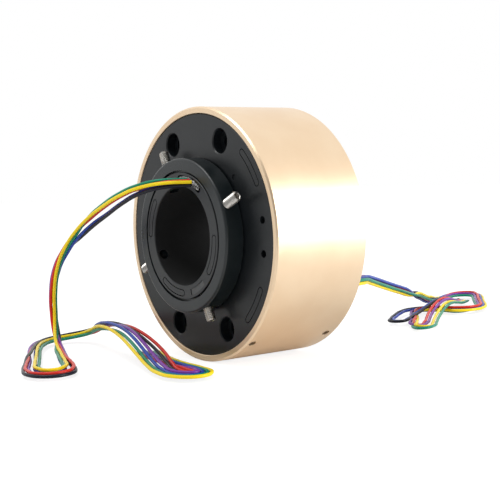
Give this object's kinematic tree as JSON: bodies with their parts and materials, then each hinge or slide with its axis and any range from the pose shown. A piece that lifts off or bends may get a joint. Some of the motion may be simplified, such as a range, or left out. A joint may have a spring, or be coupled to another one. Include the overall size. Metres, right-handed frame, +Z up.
{
  "type": "slip ring",
  "caption": "Through-bore slip ring: a drum-shaped stator turns on ball bearings round a hollow rotor with a screw-clamped collar, with a loose bundle of leads at each end.",
  "frame": {"origin": "on the bore axis, level with the barrel's front rim", "axes": "+Y along the bore, from the clamp collar towards the rear cover; +Z up, with two of the four cover holes above the bore and two below"},
  "size_m": [0.1404, 0.2906, 0.099],
  "materials": {
    "black_nylon": "fine matt",
    "black_anodised": "black anodised, satin",
    "black_moulded": "lightly textured moulding",
    "gold_anodised": "pale gold anodised, satin",
    "screw_steel": "bright, plated",
    "black_steel": "black oxide",
    "bearing_steel": "ground",
    "cage_plastic": "moulded",
    "ring_brass": "polished, gold plated",
    "insulator": "moulded",
    "circuit_board": "solder mask",
    "wire_sleeve": "smooth sleeve",
    "lead_sleeve": "smooth sleeve",
    "dark_resin": "cast, uneven",
    "silicone": "cured bead"
  },
  "bodies": {
    "rotor": {"rotor_hub": "black_nylon", "clamp_collar": "black_anodised", "hub_slot_plug_1": "black_nylon", "hub_slot_plug_2": "black_nylon", "hub_slot_plug_3": "black_nylon", "short_slot_fill": "dark_resin", "rotor_lead_potting": "silicone", "ring_insulator": "insulator", "slip_ring_1": "ring_brass", "slip_ring_2": "ring_brass", "slip_ring_3": "ring_brass", "slip_ring_4": "ring_brass", "slip_ring_5": "ring_brass", "slip_ring_6": "ring_brass", "rotor_wires": "wire_sleeve", "front_inner_race": "bearing_steel", "rear_inner_race": "bearing_steel", "retaining_ring": "bearing_steel", "rotor_leads": "lead_sleeve"},
    "stator": {"barrel": "gold_anodised", "front_cover": "black_moulded", "rear_cover": "black_moulded", "front_slot_plug_1": "black_moulded", "front_slot_plug_2": "black_moulded", "rear_slot_plug": "black_moulded", "cover_screw_1": "black_steel", "cover_screw_2": "black_steel", "cover_screw_3": "black_steel", "cover_screw_4": "black_steel", "front_outer_race": "bearing_steel", "rear_outer_race": "bearing_steel", "front_shield": "bearing_steel", "rear_shield": "bearing_steel", "brush_block": "black_moulded", "brush_board": "circuit_board", "brush_post_1": "screw_steel", "brush_post_2": "screw_steel", "brush_1": "ring_brass", "brush_2": "ring_brass", "brush_3": "ring_brass", "brush_4": "ring_brass", "brush_5": "ring_brass", "brush_6": "ring_brass", "stator_wires": "wire_sleeve", "stator_lead_potting": "silicone", "stator_leads": "lead_sleeve"},
    "front_ball_set": {"front_balls": "bearing_steel", "front_cage": "cage_plastic"},
    "rear_ball_set": {"rear_balls": "bearing_steel", "rear_cage": "cage_plastic"},
    "screw_1": {"set_screw_1": "screw_steel"},
    "screw_2": {"set_screw_2": "screw_steel"},
    "screw_3": {"set_screw_3": "screw_steel"},
    "screw_4": {"set_screw_4": "screw_steel"}
  },
  "joints": [
    {"name": "stator_turn", "type": "hinge", "parent": "rotor", "child": "stator", "pos_m": [0, 0, 0], "axis": [0, 1, 0], "continuous": true},
    {"name": "front_balls_turn", "type": "hinge", "parent": "rotor", "child": "front_ball_set", "pos_m": [0, 0.0055, 0], "axis": [0, 1, 0], "continuous": true},
    {"name": "rear_balls_turn", "type": "hinge", "parent": "rotor", "child": "rear_ball_set", "pos_m": [0, 0.0375, 0], "axis": [0, 1, 0], "continuous": true},
    {"name": "screw_1_slide", "type": "slide", "parent": "rotor", "child": "screw_1", "axis": [-0.9121, 0, -0.4099], "range_m": [0, 0.0076]},
    {"name": "screw_2_slide", "type": "slide", "parent": "rotor", "child": "screw_2", "axis": [0.4099, 0, -0.9121], "range_m": [0, 0.0065]},
    {"name": "screw_3_slide", "type": "slide", "parent": "rotor", "child": "screw_3", "axis": [0.9121, 0, 0.4099], "range_m": [0, 0.0063]},
    {"name": "screw_4_slide", "type": "slide", "parent": "rotor", "child": "screw_4", "axis": [-0.4099, 0, 0.9121], "range_m": [0, 0.0058]}
  ],
  "couplings": [
    {"joint": "front_balls_turn", "follows": "stator_turn", "ratio": 0.5417},
    {"joint": "rear_balls_turn", "follows": "stator_turn", "ratio": 0.5417}
  ]
}
